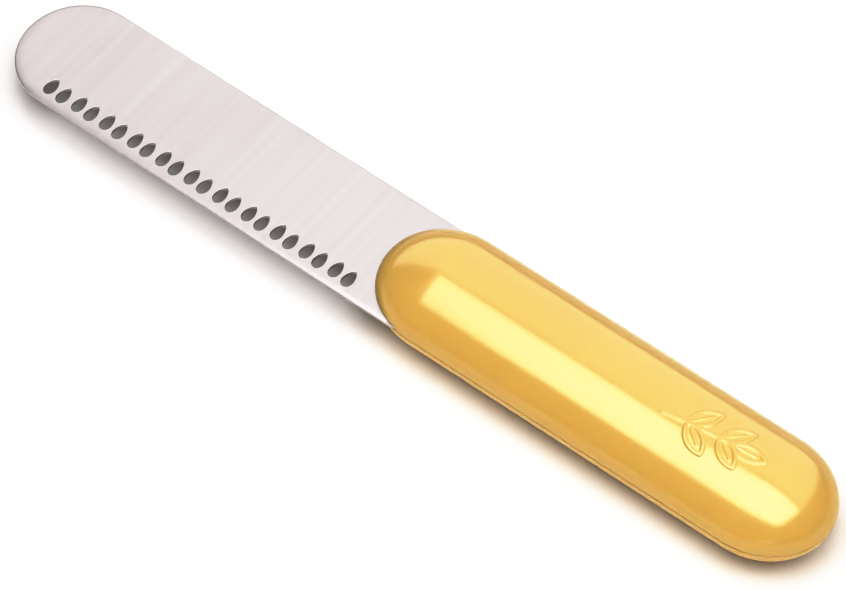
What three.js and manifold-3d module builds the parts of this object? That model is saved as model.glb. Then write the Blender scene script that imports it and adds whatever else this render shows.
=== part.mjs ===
// Butter spreader knife: a stamped stainless blade with a row of teardrop holes,
// clamped by its tang between two moulded handle shells. Millimetres, +Z up.
// +X points to the butt of the handle, the cutting edge faces -Y, and the origin is
// the middle of the footprint on the surface that the handle lies on.
import * as THREE from "three";
import { mergeVertices } from "three/addons/utils/BufferGeometryUtils.js";
import Module from "manifold-3d";

const wasm = await Module();
wasm.setup();

// ---- driving dimensions ----
const LENGTH = 200; // tip of the blade to butt of the handle
const GAP = 0.3; // clearance between neighbouring pieces

const HANDLE_WIDTH = 27.6;
const HANDLE_HEIGHT = 18;
const HANDLE_LENGTH = 107;
const HANDLE_END = 15.4; // length of the rounding at the nose and at the butt
const REST_FLAT = 0.2; // depth of the flat that the lower shell rests on
const WALL = 3.2;

const BLADE_WIDTH = 26.8;
const BLADE_THICKNESS = 0.8;
const BLADE_TIP = 13; // length of the rounded tip
const BEVEL_WIDTH = 0.9; // ground bevel along the cutting edge
const EDGE_THICKNESS = 0.68; // left at the cutting edge by the bevel

const SHOULDER_X = 3.2; // where the full blade width ends, inside the nose
const TANG_WIDTH = 16;
const TANG_END_X = 66;

const HOLE_PAIRS = 11;
const PAIR_PITCH = 7.375;
const PAIR_SPACING = 3.42; // between the two holes of a pair
const FIRST_HOLE_X = -86.45;
const HOLE_ROW_Y = -9.35;
const HOLE_STAGGER = 0.24; // each second hole sits this much nearer the edge
const HOLE_WIDTH = 2.5;
const HOLE_LENGTH = 4.2;
const HOLE_ROUND = 1.65; // length of the round end below the widest point

const PIN_X = [22, 54]; // locating pins through the tang
const PIN_DIAMETER = 4.4;
const BOSS_DIAMETER = 8.4;
const PIN_REACH = 4; // how far a pin enters the opposite boss
const RIB_X = [32, 43, 66, 78];
const RIB_THICKNESS = 1.6;
const TONGUE_WIDTH = 1;
const TONGUE_HEIGHT = 0.9;
const TONGUE_START_X = 16; // the tongue stops short of the blade mouth

// ---- derived values ----
const NOSE_X = LENGTH / 2 - HANDLE_LENGTH;
const BUTT_X = LENGTH / 2;
const MID_Z = HANDLE_HEIGHT / 2 - REST_FLAT; // parting plane and blade mid-plane
const EDGE_Y = -BLADE_WIDTH / 2;
const TONGUE_INSET = (WALL - TONGUE_WIDTH) / 2;
const REACH = 2 * LENGTH; // larger than the object, for cutting blocks
const MERGE_TOLERANCE = 1e-4;

// ---- solids ----
function solidOf(geometry) {
  const bare = geometry.index ? geometry.toNonIndexed() : geometry.clone();
  bare.deleteAttribute("normal");
  bare.deleteAttribute("uv");
  const merged = mergeVertices(bare, MERGE_TOLERANCE);
  const index = merged.index.array;
  const corners = [];
  for (let i = 0; i < index.length; i += 3) {
    const [a, b, c] = index.slice(i, i + 3);
    if (a !== b && b !== c && c !== a) corners.push(a, b, c);
  }
  return new wasm.Manifold(new wasm.Mesh({
    numProp: 3,
    vertProperties: merged.attributes.position.array,
    triVerts: new Uint32Array(corners),
  }));
}

function meshOf(name, solid, material) {
  const { vertProperties, triVerts } = solid.getMesh();
  const geometry = new THREE.BufferGeometry();
  geometry.setAttribute("position", new THREE.BufferAttribute(vertProperties, 3));
  geometry.setIndex(new THREE.BufferAttribute(triVerts, 1));
  geometry.computeVertexNormals();
  const mesh = new THREE.Mesh(geometry, material);
  mesh.name = name;
  return mesh;
}

function block(xMin, xMax, yMin, yMax, zMin, zMax) {
  const box = new THREE.BoxGeometry(xMax - xMin, yMax - yMin, zMax - zMin);
  box.translate((xMin + xMax) / 2, (yMin + yMax) / 2, (zMin + zMax) / 2);
  return solidOf(box);
}

function upright(x, diameter, zMin, zMax) {
  const SIDES = 20;
  const post = new THREE.CylinderGeometry(diameter / 2, diameter / 2, zMax - zMin, SIDES);
  post.rotateX(Math.PI / 2);
  post.translate(x, 0, (zMin + zMax) / 2);
  return solidOf(post);
}

// ---- handle ----
// The handle's outer form, or the same form inset: a straight oval bar with rounded ends.
function ovalBar(inset, sides, endSteps) {
  const end = HANDLE_END - inset;
  const profile = [];
  for (let i = 0; i <= endSteps; i += 1) {
    const angle = (Math.PI / 2) * (i / endSteps);
    profile.push(new THREE.Vector2(Math.sin(angle), NOSE_X + inset + end * (1 - Math.cos(angle))));
  }
  for (let i = endSteps; i >= 0; i -= 1) {
    const angle = (Math.PI / 2) * (i / endSteps);
    profile.push(new THREE.Vector2(Math.sin(angle), BUTT_X - inset - end * (1 - Math.cos(angle))));
  }
  profile[0].x = 0;
  profile[profile.length - 1].x = 0;
  const bar = new THREE.LatheGeometry(profile, sides);
  bar.rotateZ(-Math.PI / 2); // the lathe's axis becomes +X
  bar.scale(1, HANDLE_WIDTH / 2 - inset, HANDLE_HEIGHT / 2 - inset);
  bar.translate(0, 0, MID_Z);
  return solidOf(bar);
}

const OUTER_SIDES = 64;
const OUTER_STEPS = 12;
const INNER_SIDES = 32;
const INNER_STEPS = 6;

const above = (z) => block(-REACH, REACH, -REACH, REACH, z, REACH);
const below = (z) => block(-REACH, REACH, -REACH, REACH, -REACH, z);

const outerBar = ovalBar(0, OUTER_SIDES, OUTER_STEPS).intersect(above(0));
const cavity = ovalBar(WALL, INNER_SIDES, INNER_STEPS);
const bladePocket = plate(GAP, BLADE_THICKNESS + 2 * GAP);

// Cross ribs fill the cavity at a few stations, rooted in the wall, clear of the tang.
function ribs() {
  const stations = RIB_X.map((x) => block(
    x - RIB_THICKNESS / 2, x + RIB_THICKNESS / 2,
    -HANDLE_WIDTH, HANDLE_WIDTH, 0, HANDLE_HEIGHT,
  ));
  const plates = stations.reduce((all, one) => all.add(one));
  return plates.intersect(ovalBar(WALL / 2, INNER_SIDES, INNER_STEPS));
}

function bosses(diameter, zMin, zMax) {
  return PIN_X.map((x) => upright(x, diameter, zMin, zMax)).reduce((all, one) => all.add(one));
}

// The tongue runs round the rim of the lower shell; widened, it is the groove that takes it.
function rimTongue(play) {
  const outside = ovalBar(TONGUE_INSET - play, INNER_SIDES, INNER_STEPS);
  const inside = ovalBar(TONGUE_INSET + TONGUE_WIDTH + play, INNER_SIDES, INNER_STEPS);
  const band = block(
    TONGUE_START_X - play, REACH, -REACH, REACH,
    MID_Z - GAP, MID_Z + TONGUE_HEIGHT + play,
  );
  return outside.subtract(inside).intersect(band);
}

function handleShell(keep, bossMin, bossMax) {
  const inner = ribs().add(bosses(BOSS_DIAMETER, bossMin, bossMax).intersect(outerBar));
  return outerBar.subtract(cavity).add(inner).intersect(keep).subtract(bladePocket);
}

function lowerShell() {
  const shell = handleShell(below(MID_Z - GAP / 2), MID_Z - HANDLE_HEIGHT / 2 + REST_FLAT, MID_Z);
  const pinTop = MID_Z + BLADE_THICKNESS / 2 + PIN_REACH;
  const pins = bosses(PIN_DIAMETER, MID_Z - WALL, pinTop);
  return shell.add(rimTongue(0)).add(pins);
}

function upperShell() {
  const shell = handleShell(above(MID_Z + GAP / 2), MID_Z, HANDLE_HEIGHT);
  const sockets = bosses(
    PIN_DIAMETER + 2 * GAP,
    MID_Z, MID_Z + BLADE_THICKNESS / 2 + PIN_REACH + GAP,
  );
  return shell.subtract(rimTongue(GAP)).subtract(sockets);
}

// ---- blade ----
// Outline of blade and tang, grown sideways by the given amount.
function bladeOutline(grow) {
  const half = BLADE_WIDTH / 2 + grow;
  const tang = TANG_WIDTH / 2 + grow;
  const shoulder = half - tang;
  const tipX = -LENGTH / 2 + BLADE_TIP;
  const tangEnd = TANG_END_X + grow;
  const outline = new THREE.Shape();
  outline.moveTo(SHOULDER_X, half);
  outline.lineTo(tipX, half);
  outline.absellipse(tipX, 0, BLADE_TIP + grow, half, Math.PI / 2, 1.5 * Math.PI, false);
  outline.lineTo(SHOULDER_X, -half);
  outline.absarc(SHOULDER_X, -tang, shoulder, -Math.PI / 2, 0, false);
  outline.lineTo(tangEnd - tang, -tang);
  outline.absarc(tangEnd - tang, 0, tang, -Math.PI / 2, Math.PI / 2, false);
  outline.lineTo(SHOULDER_X + shoulder, tang);
  outline.absarc(SHOULDER_X, tang, shoulder, 0, Math.PI / 2, false);
  return outline;
}

// Teardrop: an elliptical round end towards the edge, a slimmer pointed one towards the spine.
function teardrop(x, y) {
  const STEPS = 18;
  const POINTED = 1.65; // superellipse power of the pointed end
  const pointLength = HOLE_LENGTH - HOLE_ROUND;
  const widestY = y - HOLE_LENGTH / 2 + HOLE_ROUND;
  const hole = new THREE.Path();
  const points = [];
  for (let i = 0; i < STEPS; i += 1) {
    const angle = (2 * Math.PI * i) / STEPS;
    const side = Math.cos(angle);
    const up = Math.sin(angle);
    const power = up > 0 ? 2 / POINTED : 1;
    const reach = up > 0 ? pointLength : HOLE_ROUND;
    points.push(new THREE.Vector2(
      x + Math.sign(side) * (HOLE_WIDTH / 2) * Math.abs(side) ** power,
      widestY + Math.sign(up) * reach * Math.abs(up) ** power,
    ));
  }
  hole.setFromPoints(points);
  return hole;
}

function plate(grow, thickness, holes = []) {
  const CURVE_STEPS = 20;
  const outline = bladeOutline(grow);
  outline.holes.push(...holes);
  const sheet = new THREE.ExtrudeGeometry(outline, {
    depth: thickness, bevelEnabled: false, curveSegments: CURVE_STEPS,
  });
  sheet.translate(0, 0, MID_Z - thickness / 2);
  return solidOf(sheet);
}

function spreadingHoles() {
  const holes = [];
  for (let pair = 0; pair < HOLE_PAIRS; pair += 1) {
    const x = FIRST_HOLE_X + pair * PAIR_PITCH;
    holes.push(teardrop(x, HOLE_ROW_Y));
    holes.push(teardrop(x + PAIR_SPACING, HOLE_ROW_Y - HOLE_STAGGER));
  }
  return holes;
}

// Wedge that grinds the bevel into the upper face along the straight edge.
function bevelWedge() {
  const top = MID_Z + BLADE_THICKNESS / 2;
  const slope = (BLADE_THICKNESS - EDGE_THICKNESS) / BEVEL_WIDTH;
  const OVERCUT = 1;
  const section = new THREE.Shape();
  section.moveTo(EDGE_Y + BEVEL_WIDTH, top);
  section.lineTo(EDGE_Y - OVERCUT, top - slope * (BEVEL_WIDTH + OVERCUT));
  section.lineTo(EDGE_Y - OVERCUT, top + OVERCUT);
  section.lineTo(EDGE_Y + BEVEL_WIDTH, top + OVERCUT);
  const run = SHOULDER_X + LENGTH / 2 + OVERCUT;
  const wedge = new THREE.ExtrudeGeometry(section, { depth: run, bevelEnabled: false });
  wedge.rotateX(Math.PI / 2); // section now stands in the XZ plane
  wedge.rotateZ(Math.PI / 2); // and then in the YZ plane, running along +X
  wedge.translate(SHOULDER_X - run, 0, 0);
  return solidOf(wedge);
}

function blade() {
  const sheet = plate(0, BLADE_THICKNESS, spreadingHoles());
  const pinHoles = bosses(PIN_DIAMETER + 2 * GAP, 0, HANDLE_HEIGHT);
  return sheet.subtract(bevelWedge()).subtract(pinHoles);
}

// ---- assembly ----
const stainless = new THREE.MeshStandardMaterial({
  name: "stainless", color: 0xdcd6d4, roughness: 0.35, metalness: 1,
});
const yellowUpper = new THREE.MeshStandardMaterial({
  name: "yellow_upper", color: 0xf0c258, roughness: 0.18, metalness: 0,
});
const yellowLower = yellowUpper.clone();
yellowLower.name = "yellow_lower";

const knife = new THREE.Group();
knife.name = "butter_spreader_knife";
knife.add(
  meshOf("blade", blade(), stainless),
  meshOf("handle_upper_shell", upperShell(), yellowUpper),
  meshOf("handle_lower_shell", lowerShell(), yellowLower),
);

export default knife;
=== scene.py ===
"""Looks of the butter spreader knife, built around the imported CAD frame.

The blade and both handle shells are rebuilt as fine meshes in the places that the frame
gives, with procedural materials, on a pale floor under soft studio light.
Lengths in this script are in millimetres until a mesh is made; MM turns them into metres.
"""
import math

import bmesh
import bpy
import numpy as np
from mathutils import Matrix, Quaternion, Vector
from mathutils.geometry import delaunay_2d_cdt


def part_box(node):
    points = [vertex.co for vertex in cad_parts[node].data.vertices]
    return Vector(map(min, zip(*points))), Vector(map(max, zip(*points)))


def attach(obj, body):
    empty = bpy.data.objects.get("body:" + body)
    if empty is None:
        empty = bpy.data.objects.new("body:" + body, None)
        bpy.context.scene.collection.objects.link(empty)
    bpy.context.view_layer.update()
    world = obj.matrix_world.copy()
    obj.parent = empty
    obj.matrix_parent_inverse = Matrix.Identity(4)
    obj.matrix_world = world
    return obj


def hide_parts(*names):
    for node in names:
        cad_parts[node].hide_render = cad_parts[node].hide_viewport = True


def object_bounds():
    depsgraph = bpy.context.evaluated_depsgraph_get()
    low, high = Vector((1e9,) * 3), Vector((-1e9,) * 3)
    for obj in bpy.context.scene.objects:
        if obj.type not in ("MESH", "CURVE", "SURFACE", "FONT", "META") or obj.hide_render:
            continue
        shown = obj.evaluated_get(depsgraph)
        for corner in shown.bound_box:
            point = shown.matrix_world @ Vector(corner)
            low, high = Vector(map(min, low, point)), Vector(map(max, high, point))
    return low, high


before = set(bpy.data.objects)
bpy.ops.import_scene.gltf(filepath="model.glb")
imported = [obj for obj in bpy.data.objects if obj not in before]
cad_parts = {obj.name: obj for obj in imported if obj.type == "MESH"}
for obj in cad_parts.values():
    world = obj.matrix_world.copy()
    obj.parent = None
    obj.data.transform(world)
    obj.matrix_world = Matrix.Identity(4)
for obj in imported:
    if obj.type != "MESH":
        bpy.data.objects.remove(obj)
cad_low, cad_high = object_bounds()

MM = 0.001

# ---- places and sizes, from the frame ----
blade_low, blade_high = (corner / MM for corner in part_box("blade"))
upper_low, upper_high = (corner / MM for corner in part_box("handle_upper_shell"))
lower_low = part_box("handle_lower_shell")[0] / MM

MID_Z = (blade_low.z + blade_high.z) / 2  # parting plane of the shells, middle of the blade
HALF_WIDTH = (upper_high.y - upper_low.y) / 2
HALF_HEIGHT = upper_high.z - MID_Z
NOSE_X = upper_low.x
BUTT_X = upper_high.x
END = 15.4  # length of the rounding at the nose and at the butt
WALL = 3.2

THICKNESS = blade_high.z - blade_low.z
BLADE_HALF = (blade_high.y - blade_low.y) / 2
TIP_X = blade_low.x
TIP_LENGTH = 13.0
SHOULDER_X = 3.2
TANG_HALF = 8.0
TANG_END_X = blade_high.x

HOLE_PAIRS = 11
PAIR_PITCH = 7.375
PAIR_SPACING = 3.42
FIRST_HOLE_X = -86.45
HOLE_ROW_Y = -9.35
HOLE_STAGGER = 0.24
HOLE_WIDTH = 2.5
HOLE_LENGTH = 4.2
HOLE_ROUND = 1.65
HOLE_POWER = 1.65
PIN_HOLE_X = (22.0, 54.0)
PIN_HOLE_RADIUS = 2.5


# ---- mesh helpers ----
WELD_DISTANCE = 0.001  # points closer than this become one
THIN_EDGE = 0.0005  # faces thinner than this are dissolved


def mesh_object(name, points_mm, faces, smooth_angle):
    """A mesh object from points in millimetres, smooth except across sharp edges."""
    mesh = bpy.data.meshes.new(name)
    mesh.from_pydata([tuple(p) for p in np.asarray(points_mm) * MM], [], faces)
    body = bmesh.new()
    body.from_mesh(mesh)
    bmesh.ops.remove_doubles(body, verts=body.verts, dist=WELD_DISTANCE * MM)
    bmesh.ops.dissolve_degenerate(body, edges=body.edges, dist=THIN_EDGE * MM)
    bmesh.ops.recalc_face_normals(body, faces=body.faces)
    body.to_mesh(mesh)
    body.free()
    piece = bpy.data.objects.new(name, mesh)
    bpy.context.scene.collection.objects.link(piece)
    bpy.ops.object.select_all(action="DESELECT")
    bpy.context.view_layer.objects.active = piece
    piece.select_set(True)
    bpy.ops.object.shade_smooth_by_angle(angle=smooth_angle)
    piece.select_set(False)
    return piece


def smoothstep(low, high, value):
    t = np.clip((value - low) / (high - low), 0, 1)
    return t * t * (3 - 2 * t)


def strip_faces(rows, count):
    """Quads between consecutive closed rows of count points each."""
    faces = []
    for row in range(rows - 1):
        for i in range(count):
            j = (i + 1) % count
            a, b = row * count, (row + 1) * count
            faces.append((a + i, a + j, b + j, b + i))
    return faces


# ---- handle ----
LIP = 0.28  # radius of the rounded lip on each side of the seam
SEAM = 0.04  # half of the gap at the seam
BLADE_PLAY = 0.03  # between a shell and the face of the blade
MOUTH_START_X = 4.9  # behind this the blade is inside the handle and the seam closes
MOUTH_END_X = 5.9
TANG_RISE_START_X = SHOULDER_X + 6.5  # up to here the flat rim stays clear of the blade's shoulder
TANG_RISE_END_X = SHOULDER_X + 8.5
RIM_WIDTH = 1.5
CAP_SPOKES = 96
INNER_ROWS = 9
INNER_LOWEST = 0.12  # angle of the lowest row of the inner dome, in radians
LIP_TURNS = (15, 35, 55, 75, 90)  # degrees round the lip
SHELL_SMOOTH = math.radians(50)


def spokes(straight_x):
    """Plan directions round the handle: centre x, and the cosine and sine of its outline."""
    nose, butt = NOSE_X + END, BUTT_X - END
    half_turn = np.linspace(0, math.pi, CAP_SPOKES, endpoint=False)
    nose_turn = math.pi / 2 + half_turn
    butt_turn = -math.pi / 2 + half_turn
    ahead = straight_x[:-1]
    behind = straight_x[::-1][:-1]
    centre = np.concatenate([
        np.full(CAP_SPOKES, nose), ahead, np.full(CAP_SPOKES, butt), behind,
    ])
    along = np.concatenate([
        np.cos(nose_turn), np.zeros(len(ahead)), np.cos(butt_turn), np.zeros(len(behind)),
    ])
    across = np.concatenate([
        np.sin(nose_turn), -np.ones(len(ahead)), np.sin(butt_turn), np.ones(len(behind)),
    ])
    return centre, along, across


def dome_row(plan, inset, angle):
    """One row of a shell's dome: inset from the outside, at an angle above the seam plane."""
    centre, along, across = plan
    return np.stack([
        centre + (END - inset) * np.cos(angle) * along,
        (HALF_WIDTH - inset) * np.cos(angle) * across,
        (HALF_HEIGHT - inset) * np.sin(angle) * np.ones_like(centre),
    ], axis=1)


def dome_normals(points, plan):
    centre = plan[0]
    normal = np.stack([
        (points[:, 0] - centre) / END ** 2,
        points[:, 1] / HALF_WIDTH ** 2,
        points[:, 2] / HALF_HEIGHT ** 2,
    ], axis=1)
    return normal / np.linalg.norm(normal, axis=1, keepdims=True)


def shell_points(plan, angles, relief):
    """Rows of a shell from its inner crown, over the rim, to its outer crown, z up from the seam."""
    foot = dome_row(plan, 0.0, 0.0)
    mouth = 1 - smoothstep(MOUTH_START_X, MOUTH_END_X, foot[:, 0])
    over_blade = THICKNESS / 2 + BLADE_PLAY
    seam_height = SEAM + (over_blade - SEAM) * mouth
    tang_near = 1 - smoothstep(TANG_RISE_START_X, TANG_RISE_END_X, foot[:, 0])
    rim_height = np.maximum(seam_height, SEAM + (over_blade - SEAM) * tang_near)

    rows = []
    for angle in np.linspace(math.pi / 2, INNER_LOWEST, INNER_ROWS):  # inner dome, coarse
        row = dome_row(plan, WALL, angle)
        row[:, 2] = np.maximum(row[:, 2], rim_height)
        rows.append(row)
    for inset in (WALL, RIM_WIDTH, LIP):  # flat rim
        row = dome_row(plan, inset, 0.0)
        row[:, 2] = seam_height if inset == LIP else rim_height
        rows.append(row)
    for turn in np.radians(LIP_TURNS):  # rounded lip
        height = seam_height + LIP * (1 - math.cos(turn))
        angle = np.arcsin(height / HALF_HEIGHT)
        rows.append(dome_row(plan, LIP * (1 - math.sin(turn)), angle))
        rows[-1][:, 2] = height
    top_of_lip = np.arcsin((seam_height + LIP) / HALF_HEIGHT)
    for share in angles:  # outer dome
        angle = top_of_lip + (math.pi / 2 - top_of_lip) * share
        row = dome_row(plan, 0.0, angle)
        rise = relief(row[:, 0], row[:, 1])
        rows.append(row + dome_normals(row, plan) * rise[:, None])
    return rows


def build_shell(name, straight_x, angles, side, relief):
    plan = spokes(straight_x)
    rows = shell_points(plan, angles, relief)
    points = np.concatenate(rows)
    points[:, 2] = MID_Z + side * points[:, 2]
    points[:, 2] = np.maximum(points[:, 2], lower_low.z)
    faces = strip_faces(len(rows), len(plan[0]))
    return mesh_object(name, points, faces, SHELL_SMOOTH)


# ---- raised leaf sprig near the butt ----
SPRIG_X = 61.5  # foot of the stem
SPRIG_Y = -1.5
SPRIG_LENGTH = 22.0
SPRIG_BEND = 2.2
SPRIG_SWING = math.pi * 0.55  # how much of a sine wave the stem follows
SPRIG_END = 0.69  # share of the length where the stem stops and the last leaf starts
SPRIG_HEIGHT = 0.2
LINE = 0.28  # half width of a raised line
SOFT = 0.22  # width of a raised line's sloping side
LEAF_LENGTH = 7.6
LEAF_WIDTH = 3.3
LEAF_PAIRS = ((0.24, 44), (0.56, 40))  # place along the stem, angle from it
LEAF_TAPER = 0.12  # how much smaller a leaf at the end of the stem would be
LAST_LEAF_TURN = math.radians(4)
LAST_LEAF_SIZE = 0.95
VEIN_LENGTH = 0.72  # share of the leaf's length
VEIN_HEIGHT = 0.7  # share of the sprig's height
VEIN_LINE = LINE * 0.4


def stem_point(t):
    return (
        SPRIG_X + SPRIG_LENGTH * t,
        SPRIG_Y + SPRIG_BEND * math.sin(SPRIG_SWING * t),
    )


def leaf_places():
    """Foot, direction and size of each leaf."""
    places = []
    for t, angle in LEAF_PAIRS:
        slope = math.atan2(SPRIG_BEND * SPRIG_SWING * math.cos(SPRIG_SWING * t), SPRIG_LENGTH)
        for side in (-1, 1):
            places.append((stem_point(t), slope + side * math.radians(angle), 1 - LEAF_TAPER * t))
    places.append((stem_point(SPRIG_END), LAST_LEAF_TURN, LAST_LEAF_SIZE))
    return places


def leaf_distance(x, y, foot, turn, size):
    """Signed distance to a pointed oval leaf, and the distance along it from its foot."""
    half = LEAF_LENGTH * size / 2
    along = (x - foot[0]) * math.cos(turn) + (y - foot[1]) * math.sin(turn)
    aside = -(x - foot[0]) * math.sin(turn) + (y - foot[1]) * math.cos(turn)
    offset = (half ** 2 - (LEAF_WIDTH * size / 2) ** 2) / (LEAF_WIDTH * size)
    radius = math.hypot(half, offset)
    u = np.abs(aside)
    v = np.abs(along - half)
    near_point = (v - half) * offset > u * half
    distance = np.where(near_point, np.hypot(u, v - half), np.hypot(u + offset, v) - radius)
    return distance, along, aside


def raised_line(distance):
    return 1 - smoothstep(LINE, LINE + SOFT, np.abs(distance))


def sprig_relief(x, y):
    """Height of the sprig over the plain dome."""
    height = np.zeros_like(x)
    t = np.clip((x - SPRIG_X) / SPRIG_LENGTH, 0, SPRIG_END)
    stem_y = SPRIG_Y + SPRIG_BEND * np.sin(SPRIG_SWING * t)
    past = np.maximum(0, np.maximum(SPRIG_X - x, x - SPRIG_X - SPRIG_END * SPRIG_LENGTH))
    height = np.maximum(height, raised_line(np.hypot(y - stem_y, past)))
    for foot, turn, size in leaf_places():
        distance, along, aside = leaf_distance(x, y, foot, turn, size)
        height = np.maximum(height, raised_line(distance))
        vein_end = LEAF_LENGTH * size * VEIN_LENGTH
        vein = np.hypot(aside, np.maximum(0, np.maximum(-along, along - vein_end)))
        vein_rise = 1 - smoothstep(VEIN_LINE, VEIN_LINE + SOFT, vein)
        height = np.maximum(height, VEIN_HEIGHT * vein_rise)
    return SPRIG_HEIGHT * height


def no_relief(x, y):
    return np.zeros_like(x)


def spread(*stretches):
    """Positions from start to end at a given step, one stretch after another."""
    values = [np.array([stretches[0][0]])]
    for start, end, step in stretches:
        count = max(1, round((end - start) / step))
        values.append(np.linspace(start, end, count + 1)[1:])
    return np.concatenate(values)


def build_handle():
    nose, butt = NOSE_X + END, BUTT_X - END
    fine_from = SPRIG_X - 1.5
    upper_x = spread((nose, fine_from, 0.7), (fine_from, butt, 0.14))
    upper_angles = spread((0.0, 0.45, 0.018), (0.45, 1.0, 0.008))[1:]
    lower_x = spread((nose, butt, 1.0))
    lower_angles = spread((0.0, 1.0, 0.025))[1:]
    upper = build_shell("handle_upper", upper_x, upper_angles, 1, sprig_relief)
    lower = build_shell("handle_lower", lower_x, lower_angles, -1, no_relief)
    return upper, lower


# ---- blade ----
BEVEL_WIDTH = 0.9
EDGE_THICKNESS = 0.68
TIP_RIM = 2.0  # width of the eased rim round the tip
TIP_DROP = 0.12
SPINE_RIM = 0.5
SPINE_DROP = 0.04
CORNER = 0.06  # rounding of the blade's corners
CORNER_CUT = CORNER * (1 - math.sin(math.radians(45)))  # its depth half way round
BEVEL_BLEND = 1.2  # width over which the bevel fades out from the cutting edge
BEVEL_SHARES = (0.35, 0.65, 0.85, 1.0)  # rows across the bevel
HOLE_STEP = 7.5  # degrees
FACE_GRID = 2.0  # spacing of the extra points in the flat faces
FACE_CLEARANCE = 0.5  # between those points and any outline
BLADE_SMOOTH = math.radians(20)
OUTLINE_STEP = 0.5
TIP_STEPS = 120


def arc(cx, cy, rx, ry, start, end, steps):
    turn = np.radians(np.linspace(start, end, steps, endpoint=False))
    return np.stack([cx + rx * np.cos(turn), cy + ry * np.sin(turn)], axis=1)


def line(start, end, step):
    count = max(1, round(math.dist(start, end) / step))
    share = np.linspace(0, 1, count, endpoint=False)[:, None]
    return np.array(start) + share * (np.array(end) - np.array(start))


def blade_outline():
    """Counter-clockwise outline of the blade and its tang."""
    tip = TIP_X + TIP_LENGTH
    shoulder = BLADE_HALF - TANG_HALF
    tang_centre = TANG_END_X - TANG_HALF
    return np.concatenate([
        line((SHOULDER_X, BLADE_HALF), (tip, BLADE_HALF), OUTLINE_STEP),
        arc(tip, 0, TIP_LENGTH, BLADE_HALF, 90, 270, TIP_STEPS),
        line((tip, -BLADE_HALF), (SHOULDER_X, -BLADE_HALF), OUTLINE_STEP),
        arc(SHOULDER_X, -TANG_HALF, shoulder, shoulder, -90, 0, 16),
        line((SHOULDER_X + shoulder, -TANG_HALF), (tang_centre, -TANG_HALF), 4 * OUTLINE_STEP),
        arc(tang_centre, 0, TANG_HALF, TANG_HALF, -90, 90, 32),
        line((tang_centre, TANG_HALF), (SHOULDER_X + shoulder, TANG_HALF), 4 * OUTLINE_STEP),
        arc(SHOULDER_X, TANG_HALF, shoulder, shoulder, 0, 90, 16),
    ])


def teardrop(x, y):
    """Outline of one hole: round towards the edge, pointed towards the spine."""
    turn = np.radians(np.arange(0, 360, HOLE_STEP))
    side, up = np.cos(turn), np.sin(turn)
    power = np.where(up > 0, 2 / HOLE_POWER, 1.0)
    reach = np.where(up > 0, HOLE_LENGTH - HOLE_ROUND, HOLE_ROUND)
    return np.stack([
        x + np.sign(side) * HOLE_WIDTH / 2 * np.abs(side) ** power,
        y - HOLE_LENGTH / 2 + HOLE_ROUND + np.sign(up) * reach * np.abs(up) ** power,
    ], axis=1)


def blade_holes():
    holes = []
    for pair in range(HOLE_PAIRS):
        x = FIRST_HOLE_X + pair * PAIR_PITCH
        holes.append(teardrop(x, HOLE_ROW_Y))
        holes.append(teardrop(x + PAIR_SPACING, HOLE_ROW_Y - HOLE_STAGGER))
    for x in PIN_HOLE_X:
        holes.append(arc(x, 0, PIN_HOLE_RADIUS, PIN_HOLE_RADIUS, 0, 360, 32))
    return holes


def left_normals(loop):
    """Unit normals to the left of a closed counter-clockwise loop, which point inwards."""
    along = np.roll(loop, -1, axis=0) - np.roll(loop, 1, axis=0)
    along /= np.linalg.norm(along, axis=1, keepdims=True)
    return np.stack([-along[:, 1], along[:, 0]], axis=1)


def inside(points, loop):
    """Which points are inside a closed loop."""
    x, y = points[:, 0:1], points[:, 1:2]
    x1, y1 = loop[:, 0], loop[:, 1]
    x2, y2 = np.roll(x1, -1), np.roll(y1, -1)
    crosses = (y1 > y) != (y2 > y)
    height = np.where(y2 == y1, 1.0, y2 - y1)
    at = x1 + (y - y1) * (x2 - x1) / height
    return np.count_nonzero(crosses & (x < at), axis=1) % 2 == 1


def flat_face(loops, first, z, grid_step, clearance):
    """Triangles that fill the first loop around the others. Loops index from first.

    Returns the extra inner points and the faces, as indices of loop points, then extra points.
    """
    ring = np.concatenate(loops)
    edges, start = [], 0
    for loop in loops:
        count = len(loop)
        edges += [(start + i, start + (i + 1) % count) for i in range(count)]
        start += count
    low, high = loops[0].min(0), loops[0].max(0)
    gx, gy = np.meshgrid(
        np.arange(low[0], high[0], grid_step), np.arange(low[1], high[1], grid_step),
    )
    grid = np.stack([gx.ravel(), gy.ravel()], axis=1)
    keep = inside(grid, loops[0])
    for loop in loops[1:]:
        keep &= ~inside(grid, loop)
    nearest = np.array([np.min(np.hypot(*(ring - p).T)) for p in grid])
    grid = grid[keep & (nearest > clearance)]
    flat = np.concatenate([ring, grid])
    made = delaunay_2d_cdt([Vector(p) for p in flat], edges, [], 0, 1e-7)
    out_points = np.array([tuple(v) for v in made[0]])
    source = [origin[0] for origin in made[3]]
    triangles = np.array(made[2])
    middle = out_points[triangles].mean(axis=1)
    kept = inside(middle, loops[0])
    for loop in loops[1:]:
        kept &= ~inside(middle, loop)
    faces = [tuple(first(source[i]) for i in t) for t in triangles[kept]]
    points = np.column_stack([grid, np.full(len(grid), z)])
    return points, faces


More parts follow.
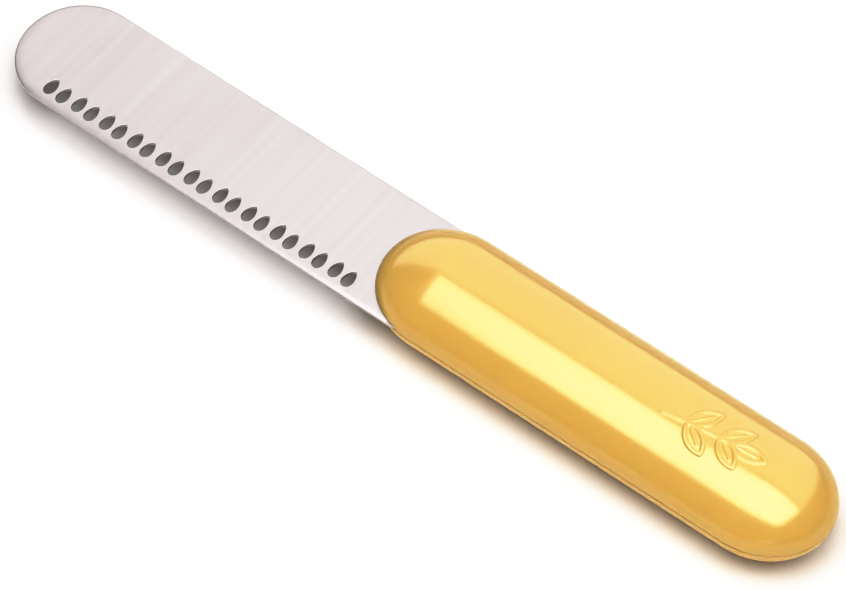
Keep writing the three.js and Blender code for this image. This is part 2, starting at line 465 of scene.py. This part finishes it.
def blade_rim_rows(outline):
    """Rows over the blade's rim, from the top face, round the edge, to the underside."""
    inward = left_normals(outline)
    half = THICKNESS / 2
    x, y = outline[:, 0], outline[:, 1]
    cutting = (1 - smoothstep(-BLADE_HALF, -BLADE_HALF + BEVEL_BLEND, y)) * (x < SHOULDER_X + 0.1)
    tip = 1 - smoothstep(TIP_X + TIP_LENGTH * 0.75, TIP_X + TIP_LENGTH * 1.15, x)
    width = SPINE_RIM + (TIP_RIM - SPINE_RIM) * tip
    width = width + (BEVEL_WIDTH - width) * cutting
    drop = SPINE_DROP + (TIP_DROP - SPINE_DROP) * tip
    drop = drop + (THICKNESS - EDGE_THICKNESS - drop) * cutting

    def row(inset, z):
        return np.column_stack([outline + inward * np.reshape(inset, (-1, 1)), z])

    rows = [row(width, np.full(len(x), half))]
    for share in BEVEL_SHARES:
        fall = (1 - cutting) * share ** 2 + cutting * share
        inset = np.maximum(width * (1 - share), CORNER)
        rows.append(row(inset, half - drop * fall))
    top = half - drop
    rows.append(row(CORNER_CUT, top - CORNER_CUT))
    rows.append(row(0.0, top - CORNER))
    rows.append(row(0.0, np.full(len(x), CORNER - half)))
    rows.append(row(CORNER_CUT, np.full(len(x), CORNER_CUT - half)))
    rows.append(row(CORNER, np.full(len(x), -half)))
    return rows


def hole_rows(loop):
    """Rows down the wall of a hole, with both of its rims slightly rounded."""
    outward = -left_normals(loop)
    half = THICKNESS / 2
    levels = (
        (CORNER, half), (CORNER_CUT, half - CORNER_CUT), (0.0, half - CORNER),
        (0.0, CORNER - half), (CORNER_CUT, CORNER_CUT - half), (CORNER, -half),
    )
    return [
        np.column_stack([loop + outward * grow, np.full(len(loop), z)]) for grow, z in levels
    ]


def build_blade():
    outline = blade_outline()
    walls = [blade_rim_rows(outline)] + [hole_rows(hole) for hole in blade_holes()]
    points, faces, starts = [], [], []
    total = 0
    for rows in walls:
        count = len(rows[0])
        starts.append(total)
        faces += [tuple(total + i for i in face) for face in strip_faces(len(rows), count)]
        points += rows
        total += count * len(rows)
    for level, z in ((0, THICKNESS / 2), (-1, -THICKNESS / 2)):
        loops = [rows[level][:, :2] for rows in walls]
        index = []
        for rows, start in zip(walls, starts):
            count = len(rows[0])
            offset = start if level == 0 else start + count * (len(rows) - 1)
            index += list(range(offset, offset + count))
        ring_total = len(index)

        def first(i, index=index, ring_total=ring_total, base=total):
            return index[i] if i < ring_total else base + i - ring_total

        extra, filled = flat_face(loops, first, z, FACE_GRID, FACE_CLEARANCE)
        points.append(extra)
        total += len(extra)
        faces += filled
    points = np.concatenate(points)
    points[:, 2] += MID_Z
    return mesh_object("spreader_blade", points, faces, BLADE_SMOOTH)


# ---- materials ----
def new_material(name):
    material = bpy.data.materials.new(name)
    material.use_nodes = True
    tree = material.node_tree
    return material, tree, tree.nodes["Principled BSDF"]


def stretched_noise(tree, scale, stretch, detail=3.0):
    """Noise in object space, drawn out by the given factors along X, Y and Z."""
    place = tree.nodes.new("ShaderNodeTexCoord")
    mapping = tree.nodes.new("ShaderNodeMapping")
    mapping.inputs["Scale"].default_value = stretch
    noise = tree.nodes.new("ShaderNodeTexNoise")
    noise.inputs["Scale"].default_value = scale
    noise.inputs["Detail"].default_value = detail
    tree.links.new(place.outputs["Object"], mapping.inputs["Vector"])
    tree.links.new(mapping.outputs["Vector"], noise.inputs["Vector"])
    return noise.outputs["Fac"]


def remapped(tree, value, low, high, from_low=0.3, from_high=0.7):
    node = tree.nodes.new("ShaderNodeMapRange")
    node.inputs["From Min"].default_value = from_low
    node.inputs["From Max"].default_value = from_high
    node.inputs["To Min"].default_value = low
    node.inputs["To Max"].default_value = high
    tree.links.new(value, node.inputs["Value"])
    return node.outputs["Result"]


def tinted(tree, value, dark, light):
    """A colour between dark and light, by a value."""
    ramp = tree.nodes.new("ShaderNodeValToRGB")
    ramp.color_ramp.elements[0].position = 0.3
    ramp.color_ramp.elements[0].color = (*dark, 1)
    ramp.color_ramp.elements[1].position = 0.7
    ramp.color_ramp.elements[1].color = (*light, 1)
    tree.links.new(value, ramp.inputs["Fac"])
    return ramp.outputs["Color"]


def bump(tree, height, strength, distance_mm, normal=None):
    node = tree.nodes.new("ShaderNodeBump")
    node.inputs["Strength"].default_value = strength
    node.inputs["Distance"].default_value = distance_mm * MM
    tree.links.new(height, node.inputs["Height"])
    if normal is not None:
        tree.links.new(normal, node.inputs["Normal"])
    return node.outputs["Normal"]


def steel_material():
    """Satin stainless, finely ground across the blade."""
    material, tree, shader = new_material("ground_stainless")
    fine = stretched_noise(tree, 5200, (1, 0.02, 1))
    band = stretched_noise(tree, 620, (1, 0.03, 1), 2.0)
    cloud = stretched_noise(tree, 45, (1, 1, 1), 2.0)
    colour = tinted(tree, band, (0.493, 0.461, 0.459), (0.518, 0.485, 0.483))
    tree.links.new(colour, shader.inputs["Base Color"])
    tree.links.new(remapped(tree, cloud, 0.30, 0.38), shader.inputs["Roughness"])
    shader.inputs["Metallic"].default_value = 1.0
    grain = bump(tree, fine, 0.35, 0.004)
    tree.links.new(bump(tree, band, 0.2, 0.01, grain), shader.inputs["Normal"])
    return material


def plastic_material():
    """Glossy warm yellow moulded plastic."""
    material, tree, shader = new_material("yellow_gloss_plastic")
    cloud = stretched_noise(tree, 38, (1, 1, 1), 2.0)
    skin = stretched_noise(tree, 1500, (1, 1, 1), 2.0)
    colour = tinted(tree, cloud, (0.80, 0.55, 0.13), (0.83, 0.57, 0.14))
    tree.links.new(colour, shader.inputs["Base Color"])
    tree.links.new(remapped(tree, skin, 0.16, 0.21), shader.inputs["Roughness"])
    shader.inputs["IOR"].default_value = 1.55
    shader.inputs["Subsurface Weight"].default_value = 0.2
    shader.inputs["Subsurface Radius"].default_value = (1.0, 0.3, 0.08)
    shader.inputs["Subsurface Scale"].default_value = 4 * MM
    tree.links.new(bump(tree, skin, 0.12, 0.006), shader.inputs["Normal"])
    return material


def floor_material():
    material, tree, shader = new_material("pale_floor")
    cloud = stretched_noise(tree, 6, (1, 1, 1), 2.0)
    colour = tinted(tree, cloud, (0.72, 0.695, 0.687), (0.735, 0.71, 0.70))
    tree.links.new(colour, shader.inputs["Base Color"])
    shader.inputs["Roughness"].default_value = 0.9
    shader.inputs["Specular IOR Level"].default_value = 0.1
    return material


# ---- studio ----
FLOOR_SIZE = 8.0
FLOOR_GAP = 0.02  # millimetres between the floor and the part


def build_floor():
    bpy.ops.mesh.primitive_plane_add(size=FLOOR_SIZE, location=(0, 0, cad_low.z - FLOOR_GAP * MM))
    floor = bpy.context.object
    floor.name = "floor"
    floor.data.materials.append(floor_material())
    return floor


def soft_box(name, low, high, height, radiance, only_on, diffuse=True):
    """A light panel level with the floor, between two corners at a height of its own.

    All lengths in metres. A radiance of 1 is white. It lights only the objects in only_on.
    No two panels share a height, so that none overlaps another in one plane.
    """
    data = bpy.data.lights.new(name, "AREA")
    data.shape = "RECTANGLE"
    data.size = high[0] - low[0]
    data.size_y = high[1] - low[1]
    data.energy = radiance * math.pi * data.size * data.size_y
    light = bpy.data.objects.new(name, data)
    light.location = ((low[0] + high[0]) / 2, (low[1] + high[1]) / 2, height)
    light.visible_camera = False
    light.visible_diffuse = diffuse
    bpy.context.scene.collection.objects.link(light)
    receivers = bpy.data.collections.new(name + "_receivers")
    for receiver in only_on:
        receivers.objects.link(receiver)
    light.light_linking.receiver_collection = receivers


def build_world():
    """Pale surroundings, darker towards the horizon."""
    world = bpy.data.worlds.new("surroundings")
    world.use_nodes = True
    tree = world.node_tree
    place = tree.nodes.new("ShaderNodeTexCoord")
    split = tree.nodes.new("ShaderNodeSeparateXYZ")
    ramp = tree.nodes.new("ShaderNodeValToRGB")
    ramp.color_ramp.elements[0].position = 0.0
    ramp.color_ramp.elements[0].color = (0.10, 0.10, 0.10, 1)
    ramp.color_ramp.elements[1].position = 0.75
    ramp.color_ramp.elements[1].color = (0.16, 0.16, 0.16, 1)
    tree.links.new(place.outputs["Generated"], split.inputs["Vector"])
    tree.links.new(split.outputs["Z"], ramp.inputs["Fac"])
    tree.links.new(ramp.outputs["Color"], tree.nodes["Background"].inputs["Color"])
    bpy.context.scene.world = world


def build_lights(floor, blade, handle):
    build_world()
    both = [floor, blade]
    soft_box("overhead", (-0.42, -0.58), (0.80, 0.27), 1.00, 3.6, both)
    soft_box("behind", (-1.4, 0.36), (0.9, 1.6), 1.01, 1.38, both, diffuse=False)
    soft_box("overhead_handle", (-0.43, -0.60), (0.85, 0.27), 1.02, 3.1, handle)
    soft_box("gloss_handle", (-0.43, -0.58), (0.85, 0.27), 1.03, 4.6, handle, diffuse=False)
    soft_box("behind_handle", (-5.5, 0.36), (0.9, 12.0), 1.04, 2.7, handle, diffuse=False)
    soft_box("low_handle", (3.0, -5.6), (4.2, -4.2), 1.05, 8.0, handle, diffuse=False)
    soft_box("floor_wash", (-0.80, -0.75), (1.00, 0.60), 1.06, 1.2, [floor])


# points of the tone curve: value in, value out
TONE = ((0.1, 0.06), (0.3, 0.21), (0.5, 0.46), (0.7, 0.79), (0.85, 0.955))


def build_tone():
    """The tone curve of a studio photograph: deep shadows, softly clipped highlights."""
    view = bpy.context.scene.view_settings
    view.view_transform = "Standard"
    view.use_curve_mapping = True
    curve = view.curve_mapping.curves[3]
    for dark, bright in TONE:
        curve.points.new(dark, bright)
    view.curve_mapping.extend = "HORIZONTAL"
    view.curve_mapping.update()


AZIMUTH = math.radians(38.06)
ELEVATION = math.radians(55.16)
DISTANCE = 1.0512
LENS = 226.6
SENSOR_WIDTH = 36.0
ROLL = math.radians(-0.1)
AIM_X, AIM_Y = 4.49, -3.47


def build_camera():
    back = Vector((
        math.sin(AZIMUTH) * math.cos(ELEVATION),
        -math.cos(AZIMUTH) * math.cos(ELEVATION),
        math.sin(ELEVATION),
    ))
    data = bpy.data.cameras.new("camera")
    data.sensor_width = SENSOR_WIDTH
    data.lens = LENS
    camera = bpy.data.objects.new("camera", data)
    camera.rotation_mode = "QUATERNION"
    camera.location = Vector((AIM_X, AIM_Y, MID_Z)) * MM + back * DISTANCE
    camera.rotation_quaternion = (-back).to_track_quat("-Z", "Y") @ Quaternion((0, 0, 1), ROLL)
    bpy.context.scene.collection.objects.link(camera)
    bpy.context.scene.camera = camera


# ---- assembly ----
def finish_piece(piece, node, material):
    piece.data.materials.append(material)
    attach(piece, "root")
    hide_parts(node)


plastic = plastic_material()
upper, lower = build_handle()
blade = build_blade()
finish_piece(blade, "blade", steel_material())
finish_piece(upper, "handle_upper_shell", plastic)
finish_piece(lower, "handle_lower_shell", plastic)

build_lights(build_floor(), blade, [upper, lower])
build_camera()
build_tone()
